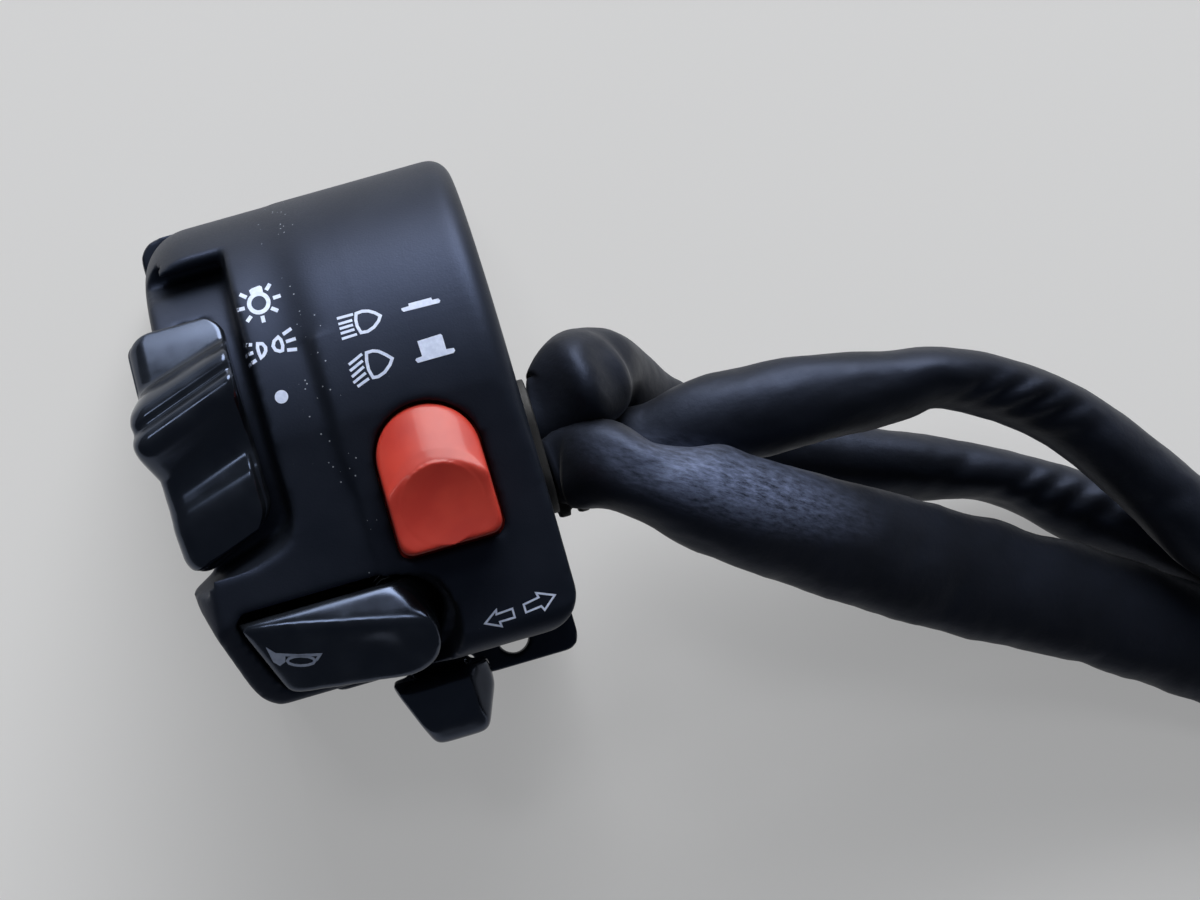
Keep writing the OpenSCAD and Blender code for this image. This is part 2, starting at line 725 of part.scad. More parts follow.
module horn_paddle() color("#0d0e11") on_horn() difference() {
    union() {
        intersection() {
            translate([0, 0, horn_back]) linear_extrude(far) horn_outline(0);
            translate([-horn_len / 2, 0, horn_low]) along_y(-far, far)
                polygon([[-far, -far], [far, -far], [far, far * horn_rise], [-far, -far * horn_rise]]);
            along_x(-far, far) polygon([
                [-far, -far], [horn_top - horn_bevel, -far], [horn_top - horn_bevel, horn_back],
                [horn_top, 0], [horn_top - far * horn_draft, far], [-far, far]
            ]);
        }
        translate([horn_pin_x, 0, 0]) along_y(-horn_lug_w / 2, horn_lug_w / 2) {
            translate([0, horn_pin_z]) circle(r = horn_ear_r);
            translate([-horn_ear_r, horn_pin_z]) square([2 * horn_ear_r, horn_back - horn_pin_z + 1]);
        }
        translate([3, 0, horn_back - 1.6]) cylinder(r = 1.4, h = 2);
    }
    translate([horn_dish[0], horn_dish[1], horn_low + (horn_dish[0] + horn_len / 2) * horn_rise])
        rotate([0, -atan(horn_rise), 0]) translate([0, 0, horn_dish_r - 0.45]) sphere(r = horn_dish_r);
    translate([horn_pin_x, 0, 0]) along_y(-far, far)
        translate([0, horn_pin_z]) circle(r = horn_pin_r + pin_clear);
}

module horn_pivot_pin() color("silver") on_horn() translate([horn_pin_x, 0, 0])
    along_y(-horn_lug_w / 2 - gap - horn_ear_t, horn_lug_w / 2 + gap + horn_ear_t)
        translate([0, horn_pin_z]) circle(r = horn_pin_r);

// Wedge on the module plate whose two ears hold the paddle's pin
module horn_base() color("sienna") difference() {
    union() {
        intersection() {
            translate([horn_base_left, plate_low, plate_top]) {
                cube([horn_base_right - horn_base_left, horn_base_top - plate_low, far]);
                cube([2 * horn_ear_r + 1.5, horn_base_top + 2.6 - plate_low, far]);
            }
            on_horn() translate([-far, -far, -2 * far]) cube([2 * far, 2 * far, 2 * far + horn_base_z]);
        }
        on_horn() for (side = [-1, 1]) translate([horn_pin_x, 0, 0])
            along_y(side * (horn_lug_w / 2 + gap + horn_ear_t / 2) - horn_ear_t / 2,
                    side * (horn_lug_w / 2 + gap + horn_ear_t / 2) + horn_ear_t / 2) {
                translate([0, horn_pin_z]) circle(r = horn_ear_r);
                translate([-horn_ear_r, horn_base_z - 0.5])
                    square([2 * horn_ear_r, horn_pin_z - horn_base_z + 0.5]);
            }
    }
    on_horn() translate([horn_pin_x, 0, 0]) along_y(-far, far)
        translate([0, horn_pin_z]) circle(r = horn_pin_r);
}

module horn_leaf() color("orange") on_horn() along_y(-2, 2)
    polygon([[-3.6, horn_base_z], [0.6, horn_base_z], [4.4, horn_base_z + 1.6], [4.4, horn_base_z + 2],
             [0.5, horn_base_z + 0.4], [-3.6, horn_base_z + 0.4]]);

module horn_spring() color("gray") on_horn() translate([horn_spring_x, 0, horn_base_z])
    coil_spring(2.2, 0.3, horn_back - horn_base_z, 5);

// Turn signal

// Lever: hub on the pin, arm through the lower wall and a tapered thumb knob
module turn_lever() color("#0d0e11") translate([turn_pos[0], turn_pos[1], 0]) difference() {
    union() {
        translate([0, 0, arm_z[0]]) linear_extrude(arm_t) {
            circle(r = turn_hub_r);
            translate([-arm_w / 2, -knob_top - 1]) square([arm_w, knob_top + 1]);
        }
        intersection() {
            translate([0, 0, knob_z[0]]) linear_extrude(knob_z[1] - knob_z[0]) polygon(concat(
                [[-knob_w / 2, -knob_top], [-knob_w / 2 + 0.6, -knob_top - 1.6]],
                arc([-knob_w / 2 + 4.6, -knob_top - knob_len + 1.4], 1.4, 215, 270, 5),
                arc([knob_w / 2 - 3.4, -knob_top - knob_len + 1.4], 1.4, 270, 330, 5),
                [[knob_w / 2, -knob_top - 3.6], [knob_w / 2, -knob_top]]
            ));
            along_x(-knob_w, knob_w) polygon([
                [-knob_top, knob_z[0]], [-knob_top, knob_z[1] - 1.6], [-knob_top - 1.2, knob_z[1]],
                [-knob_top - knob_len + 2.6, knob_z[1]], [-knob_top - knob_len, knob_z[1] - 2.4],
                [-knob_top - knob_len, knob_z[0] + 1.4], [-knob_top - knob_len + 2.4, knob_z[0]]
            ]);
            translate([0, -far, 0]) along_y(0, 2 * far) polygon([
                [-far, -far], [knob_w / 2, -far], [knob_w / 2, knob_z[1] - 4.6],
                [knob_w / 2 - 3.2, knob_z[1]], [knob_w / 2 - 3.2, far], [-far, far]
            ]);
        }
    }
    translate([0, 0, -1]) cylinder(r = turn_pin_r + pin_clear, h = far);
    translate([0, turn_ball_y, arm_z[1] - 2.8]) cylinder(r = ball_r + 0.1, h = far);
}

// Pin set in the plate and the base, with a head under the lever
module turn_pivot_pin() color("silver") translate([turn_pos[0], turn_pos[1], 0]) {
    translate([0, 0, arm_z[0] - gap - 1.2]) cylinder(r = turn_pin_r, h = plate_top - arm_z[0] + gap + 1.2);
    translate([0, 0, arm_z[0] - gap - 1.2]) cylinder(r = turn_pin_r + 1.2, h = 1.2);
}

module turn_base() color("sienna") difference() {
    translate([turn_pos[0], turn_pos[1], turn_base_z]) linear_extrude(plate_z - turn_base_z)
        round_box([-8, -10.8], [3.6, 3.2], 1.5);
    translate([turn_pos[0], turn_pos[1], turn_base_z - 1]) {
        cylinder(r = turn_pin_r, h = far);
        rotate([0, 0, -90 - turn_swing - 8]) rotate_extrude(angle = 2 * turn_swing + 16)
            translate([-turn_ball_y - ball_r - gap, 0]) square([2 * ball_r + 2 * gap, 1.6]);
    }
}

module turn_bridge() color("orange") translate([turn_pos[0], turn_pos[1], arm_z[1]]) linear_extrude(0.3)
    round_box([-3.4, -6], [3.4, -4], 0.8);

module turn_detent_ball() color("silver")
    translate([turn_pos[0], turn_pos[1] + turn_ball_y, arm_z[1] - 0.1]) sphere(r = ball_r);

module turn_detent_spring() color("gray")
    translate([turn_pos[0], turn_pos[1] + turn_ball_y, arm_z[1] - 2.8])
        coil_spring(0.8, 0.2, 1.5, 3);

// Harness

// Tongue of the grommet that the front sleeve lies on
module tongue_outline(grow) {
    low = grommet_pos[0] - grommet_w / 2;
    round_box([low - grow, tongue_z[0] - grow], [low + tongue_w, tongue_z[1]], 1);
}

module harness_grommet() color("#15161a") difference() {
    union() {
        along_x(half - wall, exit_x) grommet_outline(0);
        along_x(half - wall - 1.4, half - wall) grommet_outline(1);
        along_x(half, half + tongue_out) tongue_outline(0);
        for (x = [half + 1.2, half + tongue_out - 1.4]) along_x(x, x + 1.4) tongue_outline(rib_out);
    }
    rotate([0, 90, 0]) cylinder(r = bar_r + 0.8, h = far);
}

module sleeve(route) {
    radii = [for (i = [0:len(route) - 1]) min(sleeve_r, root_r + (sleeve_r - root_r) * pow(i / 5, 2))];
    color("#20242c") tube(route, radii, 10);
}

module front_sleeve() sleeve(front_route);

module upper_sleeve() sleeve(upper_route);

module rear_sleeve() sleeve(rear_route);

// Plug housing at the end of a sleeve, with its row of terminal cavities
module connector(route, ways) {
    end = route[len(route) - 1];
    pitch = plug[1] / ways;
    color("white") translate([end[0], end[1], end[2]]) difference() {
        along_x(0, plug[0]) round_box([-plug[1] / 2, -plug[2] / 2], [plug[1] / 2, plug[2] / 2], 1);
        for (i = [0:ways - 1])
            translate([6, (i + 0.5) * pitch - plug[1] / 2 - pitch * 0.36, -plug[2] / 2 + 1.6])
                cube([plug[0], pitch * 0.72, plug[2] - 3.2]);
    }
}

module front_connector() connector(front_route, 3);

module upper_connector() connector(upper_route, 2);

module rear_connector() connector(rear_route, 3);

rear_casing();
front_casing();
clamp_screws();
module_plate();
module_screws();
light_slider();
light_carrier();
light_contact();
light_base();
light_detent_ball();
light_detent_spring();
dip_button();
dip_plunger();
dip_switch_body();
dip_spring();
horn_paddle();
horn_pivot_pin();
horn_base();
horn_leaf();
horn_spring();
turn_lever();
turn_pivot_pin();
turn_base();
turn_bridge();
turn_detent_ball();
turn_detent_spring();
harness_grommet();
front_sleeve();
upper_sleeve();
rear_sleeve();
front_connector();
upper_connector();
rear_connector();
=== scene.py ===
"""Looks of a left-hand handlebar switch cluster: camera, harness sleeves, moulded casing, switches, finishes."""
import json
import math

import bmesh
import bpy
from mathutils import Matrix, Vector, noise
from mathutils.bvhtree import BVHTree


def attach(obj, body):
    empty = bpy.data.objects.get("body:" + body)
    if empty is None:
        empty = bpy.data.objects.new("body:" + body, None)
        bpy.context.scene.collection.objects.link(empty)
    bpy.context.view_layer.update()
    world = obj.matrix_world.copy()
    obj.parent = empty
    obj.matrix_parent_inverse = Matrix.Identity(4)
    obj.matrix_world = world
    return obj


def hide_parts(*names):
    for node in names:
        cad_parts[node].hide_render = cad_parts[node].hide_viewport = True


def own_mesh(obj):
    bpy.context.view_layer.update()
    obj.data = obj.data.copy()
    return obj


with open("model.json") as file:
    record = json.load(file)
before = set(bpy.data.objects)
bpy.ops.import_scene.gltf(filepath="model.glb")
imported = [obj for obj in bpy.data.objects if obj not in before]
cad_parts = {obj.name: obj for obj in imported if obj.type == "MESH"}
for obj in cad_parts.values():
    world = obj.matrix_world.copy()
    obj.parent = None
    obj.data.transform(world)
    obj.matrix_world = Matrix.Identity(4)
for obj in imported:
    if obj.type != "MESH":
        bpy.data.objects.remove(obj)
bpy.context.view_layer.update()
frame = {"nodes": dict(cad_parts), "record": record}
scene = bpy.context.scene
scene.view_settings.view_transform = "Standard"
MM = 0.001

# Camera, square to the photograph's 1200 by 900 frame

FACE_Z = 32.0
VIEW_CENTRE = Vector((29.4, -12.4, FACE_Z)) * MM
VIEW_DISTANCE = 380 * MM
VIEW_LEAN = -0.06
PIXELS_PER_MM = 7.9
IMAGE_WIDTH = 1200
SENSOR = 36.0
IMAGE_RIGHT = Vector((0.961, -0.276, 0))


def make_camera():
    back = Vector((VIEW_LEAN, 0, 1)).normalized()
    right = (IMAGE_RIGHT - back * IMAGE_RIGHT.dot(back)).normalized()
    up = back.cross(right)
    data = bpy.data.cameras.new("camera")
    data.sensor_width = SENSOR
    data.lens = SENSOR * PIXELS_PER_MM * VIEW_DISTANCE / MM / IMAGE_WIDTH
    data.clip_start = 0.01
    data.clip_end = 20
    camera = bpy.data.objects.new("camera", data)
    scene.collection.objects.link(camera)
    turn = Matrix((right, up, back)).transposed().to_4x4()
    camera.matrix_world = Matrix.Translation(VIEW_CENTRE + back * VIEW_DISTANCE) @ turn
    scene.camera = camera


make_camera()


# Materials

def linear(code):
    """sRGB hex to a linear colour."""
    parts = [int(code[i:i + 2], 16) / 255 for i in (1, 3, 5)]
    return tuple(c / 12.92 if c <= 0.04045 else ((c + 0.055) / 1.055) ** 2.4 for c in parts) + (1.0,)


def add(tree, kind, values=None, feeds=None, **settings):
    """Adds a node with its settings, its plain values and the sockets that feed it."""
    node = tree.nodes.new(kind)
    for key, value in settings.items():
        setattr(node, key, value)
    for key, value in (values or {}).items():
        node.inputs[key].default_value = value
    for key, source in (feeds or {}).items():
        tree.links.new(source, node.inputs[key])
    return node


def start_material(name, **values):
    """A new material with its shader, and the Object coordinates in millimetres."""
    material = bpy.data.materials.new(name)
    material.use_nodes = True
    tree = material.node_tree
    shader = tree.nodes["Principled BSDF"]
    for key, value in values.items():
        shader.inputs[key.replace("_", " ").title().replace("Ior", "IOR")].default_value = value
    coords = add(tree, "ShaderNodeTexCoord")
    place = add(tree, "ShaderNodeMapping", {"Scale": (1 / MM,) * 3}, {"Vector": coords.outputs["Object"]})
    return material, tree, shader, place.outputs["Vector"]


def two_tones(tree, fac, dark, pale, low=0.35, high=0.65):
    """A ramp between two sRGB colours over part of a pattern's range."""
    ramp = add(tree, "ShaderNodeValToRGB", feeds={"Fac": fac})
    ramp.color_ramp.elements[0].position = low
    ramp.color_ramp.elements[0].color = linear(dark)
    ramp.color_ramp.elements[1].position = high
    ramp.color_ramp.elements[1].color = linear(pale)
    return ramp.outputs["Color"]


# Dust gathers along the casing's step
DUST_X = -2.5


def make_casing_abs():
    # Injection-moulded ABS with a spark-eroded grain: satin, blue-black, fine speckle and a little dust
    # The blue specular tint is painted light: it colours the reflections as cool daylight would
    material, tree, shader, mm = start_material(
        "moulded_abs_grained", specular_tint=linear("#9DB2E6"), specular_ior_level=0.5)
    grain = add(tree, "ShaderNodeTexNoise", {"Scale": 1 / 0.28, "Detail": 3.0}, {"Vector": mm})
    cloud = add(tree, "ShaderNodeTexNoise", {"Scale": 1 / 9.0, "Detail": 4.0}, {"Vector": mm})
    tone = two_tones(tree, cloud.outputs["Fac"], "#101318", "#181B21")
    dust = add(tree, "ShaderNodeTexVoronoi", {"Scale": 1 / 0.9, "Randomness": 1.0}, {"Vector": mm})
    axes = add(tree, "ShaderNodeSeparateXYZ", None, {"Vector": mm})
    off_step = add(tree, "ShaderNodeMath", {1: DUST_X, 2: 2.4}, {0: axes.outputs["X"]}, operation="COMPARE")
    reach = add(tree, "ShaderNodeMath", {1: 0.09, 2: 0.02}, {0: off_step.outputs[0]}, operation="MULTIPLY_ADD")
    near = add(tree, "ShaderNodeMath", None, {0: dust.outputs["Distance"], 1: reach.outputs[0]},
               operation="LESS_THAN")
    patch = add(tree, "ShaderNodeMath", {1: 0.5}, {0: cloud.outputs["Fac"]}, operation="GREATER_THAN")
    speck = add(tree, "ShaderNodeMath", None, {0: near.outputs[0], 1: patch.outputs[0]}, operation="MULTIPLY")
    colour = add(tree, "ShaderNodeMix", {7: linear("#8F97A3")}, {0: speck.outputs[0], 6: tone}, data_type="RGBA")
    tree.links.new(colour.outputs[2], shader.inputs["Base Color"])
    rough = add(tree, "ShaderNodeMapRange", {"To Min": 0.4, "To Max": 0.56}, {"Value": grain.outputs["Fac"]})
    tree.links.new(rough.outputs["Result"], shader.inputs["Roughness"])
    bump = add(tree, "ShaderNodeBump", {"Strength": 0.28, "Distance": 0.00006}, {"Height": grain.outputs["Fac"]})
    tree.links.new(bump.outputs["Normal"], shader.inputs["Normal"])
    return material


def make_gloss_abs():
    # Polished black ABS: mirror-like with thumb smudges and hairline scratches
    # The blue specular tint is painted light: it colours the reflections as cool daylight would
    material, tree, shader, mm = start_material(
        "polished_black_abs", specular_tint=linear("#B8CDF8"), specular_ior_level=0.8)
    smudge = add(tree, "ShaderNodeTexNoise", {"Scale": 1 / 4.0, "Detail": 5.0}, {"Vector": mm})
    rough = add(tree, "ShaderNodeMapRange", {"From Min": 0.3, "From Max": 0.7, "To Min": 0.12, "To Max": 0.26},
                {"Value": smudge.outputs["Fac"]})
    tree.links.new(rough.outputs["Result"], shader.inputs["Roughness"])
    tone = two_tones(tree, smudge.outputs["Fac"], "#101216", "#1A1D22")
    tree.links.new(tone, shader.inputs["Base Color"])
    stretch = add(tree, "ShaderNodeMapping", {"Scale": (0.12, 2.2, 0.6), "Rotation": (0, 0, 0.5)}, {"Vector": mm})
    scratch = add(tree, "ShaderNodeTexNoise", {"Scale": 1.4, "Detail": 2.0}, {"Vector": stretch.outputs["Vector"]})
    bump = add(tree, "ShaderNodeBump", {"Strength": 0.02, "Distance": 0.00003}, {"Height": scratch.outputs["Fac"]})
    tree.links.new(bump.outputs["Normal"], shader.inputs["Normal"])
    return material


def make_red_acetal():
    # Red-orange moulded acetal: smooth, slightly see-through, paler where the light passes its edges
    material, tree, shader, mm = start_material(
        "moulded_red_acetal", subsurface_weight=0.25, subsurface_radius=(0.004, 0.0012, 0.0008),
        subsurface_scale=0.3, specular_ior_level=0.25, coat_weight=0.14, coat_roughness=0.1)
    cloud = add(tree, "ShaderNodeTexNoise", {"Scale": 1 / 5.0, "Detail": 3.0}, {"Vector": mm})
    tree.links.new(two_tones(tree, cloud.outputs["Fac"], "#9E2B22", "#AA3529"), shader.inputs["Base Color"])
    fine = add(tree, "ShaderNodeTexNoise", {"Scale": 1 / 0.5, "Detail": 3.0}, {"Vector": mm})
    rough = add(tree, "ShaderNodeMapRange", {"To Min": 0.4, "To Max": 0.52}, {"Value": fine.outputs["Fac"]})
    tree.links.new(rough.outputs["Result"], shader.inputs["Roughness"])
    bump = add(tree, "ShaderNodeBump", {"Strength": 0.05, "Distance": 0.00004}, {"Height": fine.outputs["Fac"]})
    tree.links.new(bump.outputs["Normal"], shader.inputs["Normal"])
    return material


# Middle, direction and half lengths of the painted highlight patch on the front sleeve
SHEEN_PATCH = (45.0, -21.5)
SHEEN_ANGLE = math.radians(-31)
SHEEN_SIZE = (24.0, 6.5)


def make_sleeve_pvc():
    # Extruded soft PVC: dull blue-black with short crinkles across the sleeve. The blue of its sheen is a painted
    # specular tint for cool daylight, and pale streaks paint a highlight on the front sleeve
    material, tree, shader, mm = start_material(
        "soft_pvc_sleeve", specular_tint=linear("#AFC3F2"), specular_ior_level=0.32, sheen_weight=0.05,
        sheen_roughness=0.45)
    cloud = add(tree, "ShaderNodeTexNoise", {"Scale": 1 / 12.0, "Detail": 5.0}, {"Vector": mm})
    tone = two_tones(tree, cloud.outputs["Fac"], "#0C0E13", "#13161E")
    # Painted highlight: pale bluish streaks where light catches the front sleeve below its fold
    turned = add(tree, "ShaderNodeMapping", {"Location": (-SHEEN_PATCH[0], -SHEEN_PATCH[1], 0)}, {"Vector": mm})
    lined = add(tree, "ShaderNodeVectorRotate", {"Angle": -SHEEN_ANGLE}, {"Vector": turned.outputs["Vector"]},
                rotation_type="Z_AXIS")
    streak = add(tree, "ShaderNodeMapping", {"Scale": (1 / SHEEN_SIZE[0], 1 / SHEEN_SIZE[1], 0)},
                 {"Vector": lined.outputs["Vector"]})
    far_off = add(tree, "ShaderNodeVectorMath", None, {0: streak.outputs["Vector"]}, operation="LENGTH")
    fade = add(tree, "ShaderNodeMapRange", {"From Min": 1.0, "From Max": 0.0, "To Min": 0.0, "To Max": 1.0},
               {"Value": far_off.outputs["Value"]}, interpolation_type="SMOOTHSTEP")
    hair = add(tree, "ShaderNodeMapping", {"Scale": (0.3, 1.1, 0.5)}, {"Vector": lined.outputs["Vector"]})
    sheen_noise = add(tree, "ShaderNodeTexNoise", {"Scale": 1.6, "Detail": 5.0, "Roughness": 0.7},
              {"Vector": hair.outputs["Vector"]})
    sheen_streaks = add(tree, "ShaderNodeMapRange", {"From Min": 0.3, "From Max": 0.8}, {"Value": sheen_noise.outputs["Fac"]})
    painted_sheen = add(tree, "ShaderNodeMath", None, {0: fade.outputs["Result"], 1: sheen_streaks.outputs["Result"]},
                operation="MULTIPLY")
    colour = add(tree, "ShaderNodeMix", {7: linear("#737FA0")}, {0: painted_sheen.outputs[0], 6: tone}, data_type="RGBA")
    tree.links.new(colour.outputs[2], shader.inputs["Base Color"])
    crinkle = add(tree, "ShaderNodeTexNoise", {"Scale": 1 / 1.6, "Detail": 6.0, "Roughness": 0.62}, {"Vector": mm})
    rough = add(tree, "ShaderNodeMapRange", {"To Min": 0.4, "To Max": 0.58}, {"Value": crinkle.outputs["Fac"]})
    tree.links.new(rough.outputs["Result"], shader.inputs["Roughness"])
    bump = add(tree, "ShaderNodeBump", {"Strength": 0.4, "Distance": 0.00018}, {"Height": crinkle.outputs["Fac"]})
    tree.links.new(bump.outputs["Normal"], shader.inputs["Normal"])
    return material


def make_plain(name, dark, pale, rough_low, rough_high, grain_mm, bump_mm, **values):
    """A moulded or metal finish with a cloudy tone, uneven gloss and a fine grain."""
    material, tree, shader, mm = start_material(name, **values)
    cloud = add(tree, "ShaderNodeTexNoise", {"Scale": 0.25 / grain_mm, "Detail": 4.0}, {"Vector": mm})
    tree.links.new(two_tones(tree, cloud.outputs["Fac"], dark, pale), shader.inputs["Base Color"])
    grain = add(tree, "ShaderNodeTexNoise", {"Scale": 1 / grain_mm, "Detail": 3.0}, {"Vector": mm})
    rough = add(tree, "ShaderNodeMapRange", {"To Min": rough_low, "To Max": rough_high},
                {"Value": grain.outputs["Fac"]})
    tree.links.new(rough.outputs["Result"], shader.inputs["Roughness"])
    bump = add(tree, "ShaderNodeBump", {"Strength": 0.3, "Distance": bump_mm * MM}, {"Height": grain.outputs["Fac"]})
    tree.links.new(bump.outputs["Normal"], shader.inputs["Normal"])
    return material


casing_abs = make_casing_abs()
gloss_abs = make_gloss_abs()
red_acetal = make_red_acetal()
sleeve_pvc = make_sleeve_pvc()
# Moulded EPDM rubber: matt, charcoal, with a dry bloom
grommet_epdm = make_plain("moulded_epdm_rubber", "#08080A", "#0E0F12", 0.58, 0.75, 0.4, 0.05)
# Zinc-plated steel: bright, cool, a little cloudy
zinc_steel = make_plain("zinc_plated_steel", "#A9AEB4", "#C6CACE", 0.24, 0.4, 0.5, 0.01, metallic=1.0)
# Phosphated steel: dull black plate, faintly crystalline
black_steel = make_plain("phosphated_steel", "#141516", "#1D1E20", 0.5, 0.65, 0.3, 0.01, metallic=0.6)
# Drawn spring steel: darker and smoother than the plated screws
spring_steel = make_plain("drawn_spring_steel", "#7E8388", "#9A9EA2", 0.2, 0.32, 0.4, 0.01, metallic=1.0)
# Stamped brass: warm contacts with rubbed spots
contact_brass = make_plain("stamped_brass", "#B0883C", "#CBA556", 0.22, 0.4, 0.6, 0.01, metallic=1.0)
# Moulded natural nylon: cream, waxy, faintly mottled
natural_nylon = make_plain("moulded_natural_nylon", "#D9D4C4", "#E6E2D5", 0.38, 0.5, 0.8, 0.02,
                           subsurface_weight=0.1, subsurface_radius=(0.002, 0.002, 0.0015))
# Moulded black nylon: dull and smooth, for the slider's carrier behind its slot
black_nylon = make_plain("moulded_black_nylon", "#101114", "#17181B", 0.4, 0.55, 0.8, 0.02)
# Pressed phenolic: near-black brown insulating bases with a flow pattern
phenolic = make_plain("pressed_phenolic", "#17110E", "#211814", 0.35, 0.5, 0.7, 0.03)
# Pad-printing ink: thin, flat, pale blue-white
print_ink = make_plain("pad_printing_ink", "#B4C0DC", "#C6D1EA", 0.5, 0.65, 0.15, 0.01)


# Harness sleeves

FLOOR_C = -10.4
# Each row is a point of the route, then the half width and half height of the sleeve there
FRONT_ROUTE = [
    (22.85, -13.6, 23.2, 4.1, 4.1), (25.35, -13.6, 23.2, 5.2, 4.6), (29, -15, 25, 5.7, 5.3),
    (33.4, -18.2, 26.4, 5.6, 5.4), (37.5, -20.3, 26.4, 6.3, 5.4), (42, -22.8, 25, 7.0, 5.2),
    (47, -26, 22.8, 7.3, 5.0), (52.5, -29.4, 19.5, 7.6, 4.9), (65, -37.2, 12.5, 8.2, 4.9),
    (78, -44.8, 6, 8.2, 4.9), (91, -52.3, 0.8, 8.0, 4.9), (104, -61, -4.2, 7.9, 5.0),
    (117, -71, -8.4, 7.4, 5.2), (130, -80.5, FLOOR_C, 6.9, 5.6), (145, -87, FLOOR_C, 6.4, 5.9),
    (162, -90, FLOOR_C, 6.1, 6.1), (190, -90, FLOOR_C, 6.1, 6.1), (220, -90, FLOOR_C, 6.1, 6.1),
    (246, -90, FLOOR_C, 5.4, 5.0),
]
UPPER_ROUTE = [
    (22.85, -11.2, 13.4, 4.1, 4.1), (25.35, -11.2, 13.4, 4.3, 4.3), (30, -12.4, 13.3, 4.8, 4.8),
    (37, -13.6, 13.8, 5.6, 5.2), (45, -13, 15, 6.2, 5.4), (58, -13.5, 15, 6.0, 5.8),
    (70, -15, 12.6, 4.9, 6.8), (77, -15.6, 11, 4.1, 7.2), (86, -20, 8.5, 4.3, 7.0),
    (94.3, -26.6, 5.5, 4.6, 6.8), (102, -36.7, 3.6, 5.0, 6.6), (109, -47, 3, 5.6, 6.2),
    (117, -53.5, 3, 6.0, 6.0), (127, -57, 2.6, 6.1, 6.0), (139, -58.6, 0, 6.1, 6.0),
    (152, -60, -6.6, 6.1, 6.1), (166, -61, FLOOR_C, 6.1, 6.1), (190, -61, FLOOR_C, 6.1, 6.1),
    (220, -61, FLOOR_C, 6.1, 6.1), (246, -61, FLOOR_C, 5.4, 5.0),
]
REAR_ROUTE = [
    (22.85, -4.9, 21.9, 4.1, 4.1), (25.35, -4.9, 21.9, 4.7, 4.6), (29.6, -2.4, 20, 6.0, 5.4),
    (32.4, -2.2, 14.6, 6.2, 5.6), (34.8, -4, 8, 6.2, 5.6), (37.6, -8, 2.4, 6.2, 5.4),
    (41.6, -12, -0.6, 6.2, 5.4), (47.5, -15.6, -2.2, 6.0, 5.6), (54.5, -19, -3.6, 5.6, 5.8),
    (63, -22.8, -5.2, 5.2, 6.0), (75, -27.8, -7.6, 4.9, 6.1), (85, -32.6, -9.4, 4.9, 6.1),
    (95, -39, FLOOR_C, 5.2, 6.0), (107, -47.2, FLOOR_C, 5.6, 6.0), (119, -56.4, FLOOR_C, 5.9, 6.0),
    (132, -65.6, FLOOR_C, 6.1, 6.1), (148, -73, FLOOR_C, 6.1, 6.1), (166, -75.5, FLOOR_C, 6.1, 6.1),
    (190, -75.5, FLOOR_C, 6.1, 6.1), (220, -75.5, FLOOR_C, 6.1, 6.1), (246, -75.5, FLOOR_C, 5.4, 5.0),
]
RING_SIDES = 48
RING_STEP = 0.9


def smooth_route(rows):
    """Even samples of one smooth curve through the rows."""
    samples = []
    last = len(rows) - 1
    for i in range(last):
        before = Vector(rows[max(i - 1, 0)])
        start = Vector(rows[i])
        end = Vector(rows[i + 1])
        after = Vector(rows[min(i + 2, last)])
        span = (Vector(rows[i + 1][:3]) - Vector(rows[i][:3])).length
        steps = max(2, round(span / RING_STEP))
        for k in range(steps + (i == last - 1)):
            t = k / steps
            samples.append(0.5 * (2 * start + (end - before) * t + (2 * before - 5 * start + 4 * end - after) * t * t
                                  + (3 * start - before - 3 * end + after) * t * t * t))
    return samples


def make_sleeve(name, rows, folds, pleats, seed):
    """A soft tube: a grid bent round the route, flattened as it lies and creased at its folds."""
    samples = smooth_route(rows)
    count = len(samples)
    points = [Vector(s[:3]) for s in samples]
    along = [0.0]
    for i in range(1, count):
        along.append(along[-1] + (points[i] - points[i - 1]).length)
    bm = bmesh.new()
    bmesh.ops.create_grid(bm, x_segments=count - 1, y_segments=RING_SIDES, size=1)
    for v in bm.verts:
        i = round((v.co.x + 1) / 2 * (count - 1))
        angle = (v.co.y + 1) * math.pi
        heading = (points[min(i + 1, count - 1)] - points[max(i - 1, 0)]).normalized()
        side = heading.cross(Vector((0.05, 0.1, 1))).normalized()
        up = side.cross(heading)
        wide, high = samples[i][3], samples[i][4]
        out = side * (wide * math.cos(angle)) + up * (high * math.sin(angle))
        spot = Vector((math.cos(angle) * 1.2, math.sin(angle) * 1.2, along[i] / 7.0 + seed))
        swell = 1 + 0.045 * noise.noise(spot) + 0.015 * noise.noise(spot * 3.1)
        for s0, turn, length, spread, slant, depth in folds:
            around = (math.degrees(angle) - turn + 180) % 360 - 180
            off = (along[i] - s0 - slant * around / 90) / length
            swell += depth * math.exp(-off * off - (around / spread) ** 2)
        place = points[i] + out * swell
        for start, end, width, height in pleats:
            line = Vector(end) - Vector(start)
            off = place.xy - Vector(start)
            off -= line * min(max(off.dot(line) / line.length_squared, 0), 1)
            place.z += height * max(out.normalized().z, 0) * math.exp(-off.length_squared / width ** 2)
        v.co = place * MM
    bmesh.ops.remove_doubles(bm, verts=bm.verts, dist=1e-7)
    rims = [e for e in bm.edges if e.is_boundary]
    bmesh.ops.holes_fill(bm, edges=rims, sides=0)
    bmesh.ops.recalc_face_normals(bm, faces=bm.faces)
    piece = finish_mesh(name, bm, sleeve_pvc)
    return piece, [tuple(p * MM) for p in points], along[-1] * MM


def finish_mesh(name, bm, material, smooth=True):
    mesh = bpy.data.meshes.new(name)
    bm.to_mesh(mesh)
    bm.free()
    if smooth:
        mesh.polygons.foreach_set("use_smooth", [True] * len(mesh.polygons))
    mesh.materials.append(material)
    piece = bpy.data.objects.new(name, mesh)
    scene.collection.objects.link(piece)
    return piece


